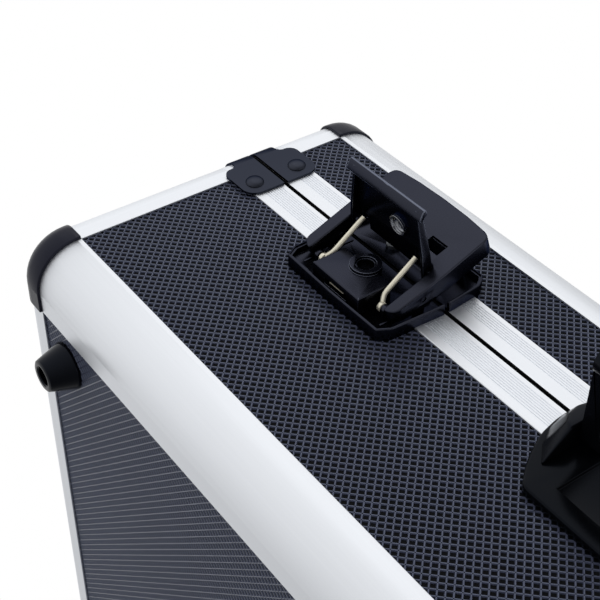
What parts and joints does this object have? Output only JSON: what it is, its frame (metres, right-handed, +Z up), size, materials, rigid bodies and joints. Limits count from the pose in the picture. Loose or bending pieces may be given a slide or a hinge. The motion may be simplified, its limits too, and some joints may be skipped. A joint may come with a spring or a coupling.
{
  "type": "mixer case",
  "caption": "Rectangular equipment case with aluminium edge profiles, grid-textured panels, capped corners, hinged lid, draw latches, folding carry handle, feet and foam lining.",
  "frame": {"origin": "middle of the whole object's footprint, on the surface that its feet stand on", "axes": "+X across the front to the viewer's right, -Y out of the front face with the latches and the handle, +Z up through the lid"},
  "size_m": [0.5778, 0.4798, 0.1942],
  "materials": {
    "aluminium": "satin anodised extrusions, finely grooved on the rim rails",
    "panel": "dark blue-grey moulded laminate with a fine raised square grid",
    "cap_plastic": "charcoal moulded corner caps with a soft sheen",
    "clip_steel": "dark grey satin steel clips and domed rivets",
    "latch_black": "black satin stamped steel",
    "link_wire": "bright bent wire",
    "lock_brass": "dulled lock barrel",
    "handle_plastic": "black moulded plastic with a satin face",
    "grip_rubber": "black ribbed grip",
    "foot_rubber": "glossy black rubber feet",
    "screw_steel": "zinc-plated screws and pins",
    "hinge_steel": "zinc-plated hinge leaves and pins",
    "foam": "charcoal open-cell foam"
  },
  "bodies": {
    "base": {"base_back_edge_profile": "aluminium", "base_back_panel": "panel", "base_back_rim_rail": "aluminium", "base_clip_rivets": "clip_steel", "base_corner_caps": "cap_plastic", "base_corner_clips": "clip_steel", "base_corner_posts": "aluminium", "base_end_edge_profiles": "aluminium", "base_end_panels": "panel", "base_end_rim_rails": "aluminium", "base_floor_panel": "panel", "base_foam_floor": "foam", "base_foam_walls": "foam", "base_front_edge_profile": "aluminium", "base_front_panel": "panel", "base_front_rim_rail": "aluminium", "feet": "foot_rubber", "foot_screws": "screw_steel", "handle_pivot_pins": "screw_steel", "handle_plate": "handle_plastic", "handle_pods": "handle_plastic", "hinge_base_leaves": "hinge_steel", "hinge_base_rivets": "hinge_steel", "hinge_pins": "hinge_steel", "latch_centre_covers": "latch_black", "latch_pivot_pins": "screw_steel", "latch_screws": "screw_steel", "left_latch_base": "latch_black", "right_latch_base": "latch_black"},
    "lid": {"lid_top_panel": "panel", "lid_front_panel": "panel", "lid_back_panel": "panel", "lid_end_panels": "panel", "lid_front_edge_profile": "aluminium", "lid_back_edge_profile": "aluminium", "lid_end_edge_profiles": "aluminium", "lid_corner_posts": "aluminium", "lid_front_rim_rail": "aluminium", "lid_back_rim_rail": "aluminium", "lid_end_rim_rails": "aluminium", "lid_corner_caps": "cap_plastic", "lid_corner_clips": "clip_steel", "lid_clip_rivets": "clip_steel", "lid_foam": "foam", "latch_keepers": "latch_black", "keeper_screws": "screw_steel", "hinge_lid_leaves": "hinge_steel", "hinge_lid_rivets": "hinge_steel"},
    "left_cover": {"left_latch_cover": "latch_black", "left_lever_pins": "screw_steel"},
    "left_lever": {"left_latch_lever": "latch_black", "left_lock_barrel": "lock_brass"},
    "left_links": {"left_latch_links": "link_wire"},
    "right_cover": {"right_latch_cover": "latch_black", "right_lever_pins": "screw_steel"},
    "right_lever": {"right_latch_lever": "latch_black", "right_lock_barrel": "lock_brass"},
    "right_links": {"right_latch_links": "link_wire"},
    "handle": {"handle_arms": "handle_plastic", "handle_grip": "grip_rubber"}
  },
  "joints": [
    {"name": "lid_hinge", "type": "hinge", "parent": "base", "child": "lid", "pos_m": [0, 0.2357, 0.128], "axis": [-1, 0, 0], "range_deg": [0, 100]},
    {"name": "left_lever_swing", "type": "hinge", "parent": "left_cover", "child": "left_lever", "pos_m": [-0.178, -0.20345, 0.12567], "axis": [1, 0, 0], "range_deg": [0, 99.6]},
    {"name": "left_cover_tilt", "type": "hinge", "parent": "base", "child": "left_cover", "pos_m": [-0.178, -0.1984, 0.118], "axis": [1, 0, 0], "range_deg": [-19.7, 0]},
    {"name": "left_link_swing", "type": "hinge", "parent": "base", "child": "left_links", "pos_m": [-0.178, -0.1933, 0.106], "axis": [1, 0, 0], "range_deg": [-24.5, 0]},
    {"name": "right_lever_swing", "type": "hinge", "parent": "right_cover", "child": "right_lever", "pos_m": [0.178, -0.20345, 0.12567], "axis": [1, 0, 0], "range_deg": [0, 99.6]},
    {"name": "right_cover_tilt", "type": "hinge", "parent": "base", "child": "right_cover", "pos_m": [0.178, -0.1984, 0.118], "axis": [1, 0, 0], "range_deg": [-19.7, 0]},
    {"name": "right_link_swing", "type": "hinge", "parent": "base", "child": "right_links", "pos_m": [0.178, -0.1933, 0.106], "axis": [1, 0, 0], "range_deg": [-24.5, 0]},
    {"name": "handle_fold", "type": "hinge", "parent": "base", "child": "handle", "pos_m": [0, -0.1979, 0.1205], "axis": [1, 0, 0], "range_deg": [0, 80]}
  ],
  "couplings": [
    {"joint": "left_cover_tilt", "follows": "left_lever_swing", "ratio": -0.19779},
    {"joint": "left_link_swing", "follows": "left_lever_swing", "ratio": -0.24598},
    {"joint": "right_cover_tilt", "follows": "right_lever_swing", "ratio": -0.19779},
    {"joint": "right_link_swing", "follows": "right_lever_swing", "ratio": -0.24598}
  ]
}
